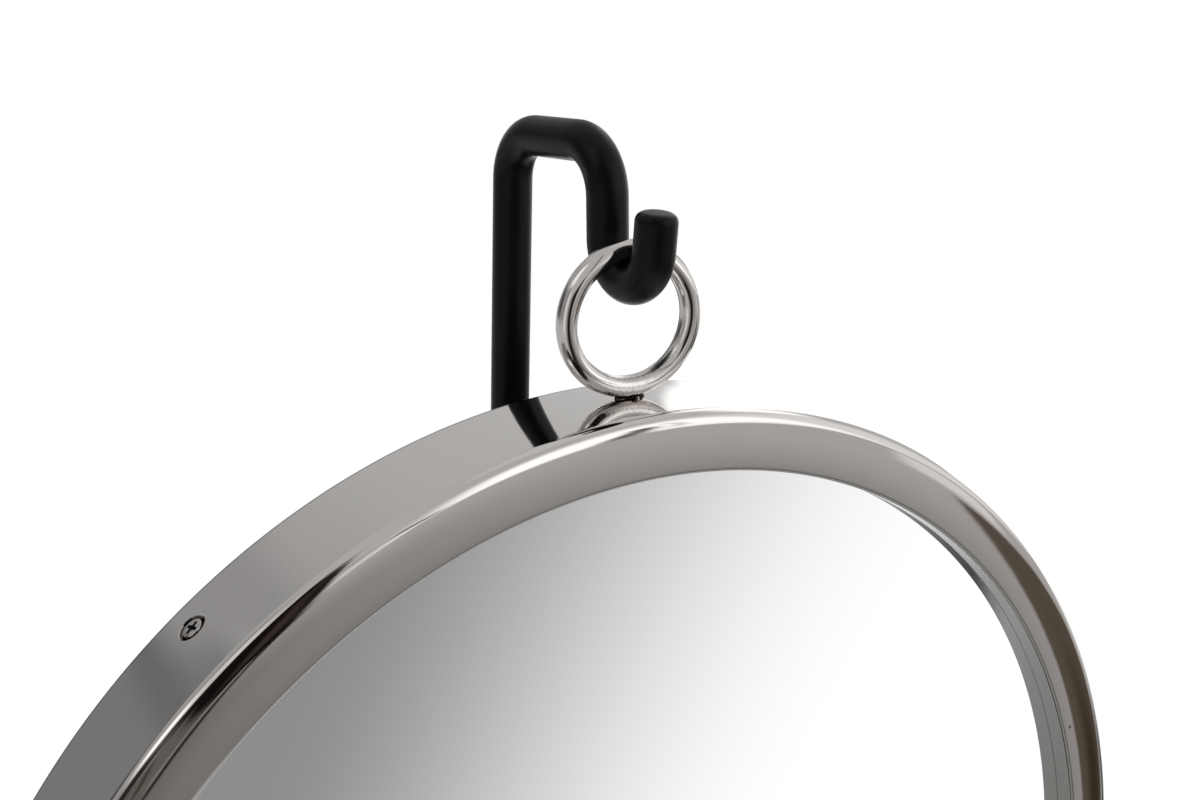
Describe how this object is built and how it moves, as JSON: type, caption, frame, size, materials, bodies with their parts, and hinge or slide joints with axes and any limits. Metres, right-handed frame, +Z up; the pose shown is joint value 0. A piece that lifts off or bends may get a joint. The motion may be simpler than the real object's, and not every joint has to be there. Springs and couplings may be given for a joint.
{
  "type": "hanging table mirror",
  "caption": "Round mirror in a deep nickel frame, hung by its ring from the hook of a bent black bar that stands on a round base.",
  "frame": {"origin": "middle of the base's underside, on the table", "axes": "+Z up, the mirror faces -Y, +X to the right of someone who looks into it from the front"},
  "size_m": [0.45, 0.26, 0.5939],
  "materials": {
    "felt": "pressed felt",
    "black_base": "black powder coat, satin",
    "black_bar": "black coat, satin",
    "steel": "plain zinc-plated",
    "nickel": "polished nickel",
    "gasket": "foam rubber",
    "glass": "silvered glass",
    "foam": "thin foam sheet",
    "board": "hardboard",
    "hoop": "plain plywood",
    "panel": "board stained black"
  },
  "bodies": {
    "stand": {"base_felt": "felt", "base_plate": "black_base", "base_bolt": "steel", "lock_washer": "steel", "base_washer": "steel", "hook_rod": "black_bar"},
    "ring": {"hanging_ring": "nickel"},
    "mirror": {"ring_stud": "nickel", "stud_washer": "steel", "stud_nut": "steel", "mirror_frame": "nickel", "glass_gasket": "gasket", "mirror_glass": "glass", "foam_sheet": "foam", "backing_board": "board", "wood_hoop": "hoop", "side_screws": "steel", "back_panel": "panel", "back_screws": "steel"}
  },
  "joints": [
    {"name": "tilt", "type": "hinge", "parent": "stand", "child": "ring", "pos_m": [0, -0.027, 0.5571], "axis": [1, 0, 0], "range_deg": [-60, 5]},
    {"name": "swing", "type": "hinge", "parent": "ring", "child": "mirror", "pos_m": [0, -0.027, 0.53545], "axis": [0, 1, 0], "range_deg": [-30, 30]}
  ]
}
